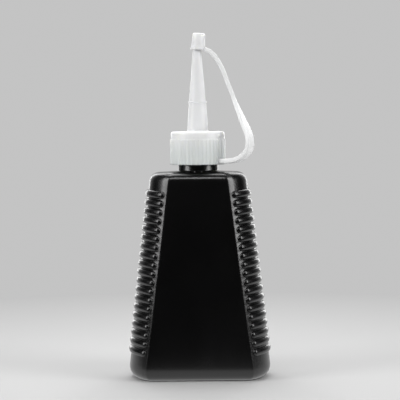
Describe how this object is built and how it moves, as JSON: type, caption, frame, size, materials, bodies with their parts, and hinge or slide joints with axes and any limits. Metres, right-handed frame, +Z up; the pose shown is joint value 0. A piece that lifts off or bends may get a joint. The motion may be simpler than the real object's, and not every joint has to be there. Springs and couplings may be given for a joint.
{
  "type": "squeeze bottle with spout and tethered tip cap",
  "caption": "Black squeeze bottle for dry graphite lubricant, with grip ribs, a screw closure with a long conical spout, and a tip cap on a strap.",
  "frame": {"origin": "the middle of the foot, on the axis of the neck and spout, at the level that the bottle stands on", "axes": "+Z up along the spout; +X towards the side that the cap's strap bows out on; -Y towards the front panel"},
  "size_m": [0.061, 0.0308, 0.1482],
  "materials": {
    "black_polyethylene": "satin",
    "natural_polyethylene": "satin",
    "liner_foam": "matte",
    "graphite": "matte"
  },
  "bodies": {
    "bottle": {"bottle": "black_polyethylene", "graphite_powder": "graphite"},
    "liner": {"seal_liner": "liner_foam"},
    "closure": {"spout_closure": "natural_polyethylene"},
    "strap_1": {"strap_link_1": "natural_polyethylene"},
    "strap_2": {"strap_link_2": "natural_polyethylene"},
    "strap_3": {"strap_link_3": "natural_polyethylene"},
    "strap_4": {"strap_link_4": "natural_polyethylene"},
    "tip_cap": {"tip_cap": "natural_polyethylene"}
  },
  "joints": [
    {"name": "closure_lift", "type": "slide", "parent": "bottle", "child": "liner", "axis": [0, 0, 1], "range_m": [0, 0.01429]},
    {"name": "closure_turn", "type": "hinge", "parent": "liner", "child": "closure", "pos_m": [0, 0, 0.1], "axis": [0, 0, 1], "range_deg": [0, 1622]},
    {"name": "strap_fold_1", "type": "hinge", "parent": "closure", "child": "strap_1", "pos_m": [0.01326, -0.00765, 0.09335], "axis": [0, 1, 0], "range_deg": [-20.3, 0]},
    {"name": "strap_fold_2", "type": "hinge", "parent": "strap_1", "child": "strap_2", "pos_m": [0.01772, -0.01023, 0.09439], "axis": [0, 1, 0], "range_deg": [-17.2, 0]},
    {"name": "strap_fold_3", "type": "hinge", "parent": "strap_2", "child": "strap_3", "pos_m": [0.0196, -0.00461, 0.11088], "axis": [0, 1, 0], "range_deg": [0, 49.1]},
    {"name": "strap_fold_4", "type": "hinge", "parent": "strap_3", "child": "strap_4", "pos_m": [0.01089, 0, 0.13259], "axis": [0, 1, 0], "range_deg": [0, 60]},
    {"name": "cap_fold", "type": "hinge", "parent": "strap_4", "child": "tip_cap", "pos_m": [0.0039, 0, 0.1407], "axis": [0, 1, 0], "range_deg": [0, 45.5]}
  ],
  "couplings": [
    {"joint": "closure_turn", "follows": "closure_lift", "rad_per_m": 1979},
    {"joint": "strap_fold_1", "follows": "strap_fold_4", "ratio": -0.33},
    {"joint": "strap_fold_2", "follows": "strap_fold_4", "ratio": -0.27833},
    {"joint": "strap_fold_3", "follows": "strap_fold_4", "ratio": 0.81},
    {"joint": "cap_fold", "follows": "strap_fold_4", "ratio": 0.75}
  ]
}
